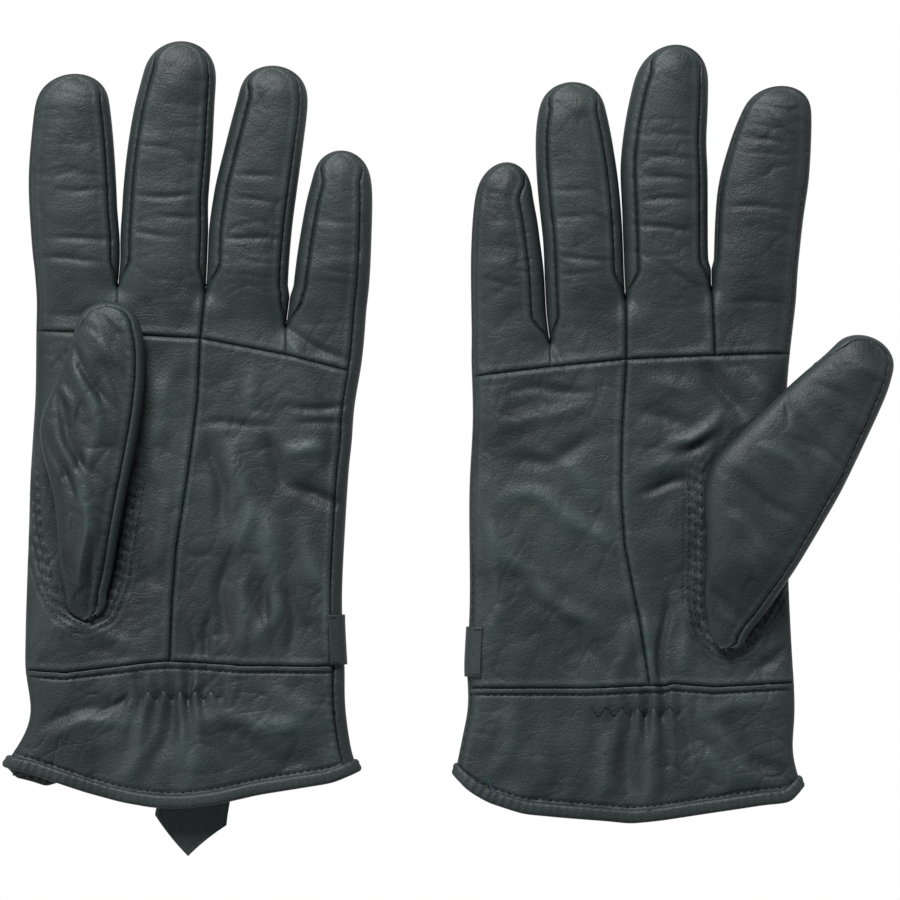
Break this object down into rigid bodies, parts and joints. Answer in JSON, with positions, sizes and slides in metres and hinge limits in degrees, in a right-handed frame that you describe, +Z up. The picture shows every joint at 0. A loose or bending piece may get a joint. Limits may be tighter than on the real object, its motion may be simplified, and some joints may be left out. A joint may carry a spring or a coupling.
{
  "type": "pair of leather gloves",
  "caption": "Pair of dark leather dress gloves laid palm up, one thumb folded and one spread, with bending fingers, swinging thumbs and closing straps.",
  "frame": {"origin": "middle of the pair on the surface that the gloves lie on", "axes": "+X from the left glove to the right glove, +Y from the cuffs to the fingertips, +Z up out of the palms"},
  "size_m": [0.2937, 0.2698, 0.0261],
  "materials": {
    "outer_leather": "smooth semi-matte, fine grain",
    "binding_leather": "smooth, rolled edge",
    "fleece": "brushed fleece",
    "elastic": "woven elastic",
    "stud_metal": "dark plated",
    "thread": "twisted sewing thread"
  },
  "bodies": {
    "left_hand": {"left_palm_thumb_side": "outer_leather", "left_palm_outer_side": "outer_leather", "left_back_panel": "outer_leather", "left_hand_lining": "fleece", "left_cuff_front": "outer_leather", "left_cuff_back": "outer_leather", "left_hem_binding": "binding_leather", "left_wrist_elastic": "elastic", "left_side_tab": "binding_leather", "left_press_studs": "stud_metal"},
    "left_index": {"left_index_front": "outer_leather", "left_index_back": "outer_leather", "left_index_fourchettes": "outer_leather", "left_index_lining": "fleece"},
    "left_middle": {"left_middle_front": "outer_leather", "left_middle_back": "outer_leather", "left_middle_fourchettes": "outer_leather", "left_middle_lining": "fleece"},
    "left_ring": {"left_ring_front": "outer_leather", "left_ring_back": "outer_leather", "left_ring_fourchettes": "outer_leather", "left_ring_lining": "fleece"},
    "left_little": {"left_little_front": "outer_leather", "left_little_back": "outer_leather", "left_little_fourchettes": "outer_leather", "left_little_lining": "fleece"},
    "left_thumb": {"left_thumb_front": "outer_leather", "left_thumb_back": "outer_leather", "left_thumb_lining": "fleece"},
    "left_strap": {"left_strap": "outer_leather"},
    "right_hand": {"right_palm_thumb_side": "outer_leather", "right_palm_outer_side": "outer_leather", "right_back_panel": "outer_leather", "right_hand_lining": "fleece", "right_cuff_front": "outer_leather", "right_cuff_back": "outer_leather", "right_hem_binding": "binding_leather", "right_wrist_elastic": "elastic", "right_side_tab": "binding_leather", "right_press_studs": "stud_metal"},
    "right_index": {"right_index_front": "outer_leather", "right_index_back": "outer_leather", "right_index_fourchettes": "outer_leather", "right_index_lining": "fleece"},
    "right_middle": {"right_middle_front": "outer_leather", "right_middle_back": "outer_leather", "right_middle_fourchettes": "outer_leather", "right_middle_lining": "fleece"},
    "right_ring": {"right_ring_front": "outer_leather", "right_ring_back": "outer_leather", "right_ring_fourchettes": "outer_leather", "right_ring_lining": "fleece"},
    "right_little": {"right_little_front": "outer_leather", "right_little_back": "outer_leather", "right_little_fourchettes": "outer_leather", "right_little_lining": "fleece"},
    "right_thumb": {"right_thumb_front": "outer_leather", "right_thumb_back": "outer_leather", "right_thumb_lining": "fleece"},
    "right_strap": {"right_strap": "outer_leather"}
  },
  "joints": [
    {"name": "left_index_bend", "type": "hinge", "parent": "left_hand", "child": "left_index", "pos_m": [-0.12276, 0.0615, 0.008], "axis": [1, 0, 0], "range_deg": [0, 80]},
    {"name": "left_middle_bend", "type": "hinge", "parent": "left_hand", "child": "left_middle", "pos_m": [-0.09386, 0.0615, 0.008], "axis": [1, 0, 0], "range_deg": [0, 80]},
    {"name": "left_ring_bend", "type": "hinge", "parent": "left_hand", "child": "left_ring", "pos_m": [-0.06568, 0.06, 0.008], "axis": [1, 0, 0], "range_deg": [0, 80]},
    {"name": "left_little_bend", "type": "hinge", "parent": "left_hand", "child": "left_little", "pos_m": [-0.03896, 0.049, 0.008], "axis": [1, 0, 0], "range_deg": [0, 80]},
    {"name": "right_index_bend", "type": "hinge", "parent": "right_hand", "child": "right_index", "pos_m": [0.10181, 0.0615, 0.008], "axis": [1, 0, 0], "range_deg": [0, 80]},
    {"name": "right_middle_bend", "type": "hinge", "parent": "right_hand", "child": "right_middle", "pos_m": [0.07214, 0.0615, 0.008], "axis": [1, 0, 0], "range_deg": [0, 80]},
    {"name": "right_ring_bend", "type": "hinge", "parent": "right_hand", "child": "right_ring", "pos_m": [0.04496, 0.058, 0.008], "axis": [1, 0, 0], "range_deg": [0, 80]},
    {"name": "right_little_bend", "type": "hinge", "parent": "right_hand", "child": "right_little", "pos_m": [0.01977, 0.043, 0.008], "axis": [1, 0, 0], "range_deg": [0, 80]},
    {"name": "left_thumb_spread", "type": "hinge", "parent": "left_hand", "child": "left_thumb", "pos_m": [-0.119, -0.045, 0.018], "axis": [0, 0, 1], "range_deg": [0, 30]},
    {"name": "right_thumb_fold", "type": "hinge", "parent": "right_hand", "child": "right_thumb", "pos_m": [0.093, -0.054, 0.01429], "axis": [0.0872, 0, 0.9962], "range_deg": [0, 27]},
    {"name": "left_strap_swivel", "type": "hinge", "parent": "left_hand", "child": "left_strap", "pos_m": [-0.044, -0.063, 0.0012], "axis": [0, 0, 1], "range_deg": [-60, 0]},
    {"name": "right_strap_swivel", "type": "hinge", "parent": "right_hand", "child": "right_strap", "pos_m": [0.017, -0.067, 0.0012], "axis": [0, 0, 1], "range_deg": [-60, 0]},
    {"name": "right_glove_lift", "type": "slide", "parent": "left_hand", "child": "right_hand", "axis": [0, 0, 1], "range_m": [0, 0.1]}
  ]
}
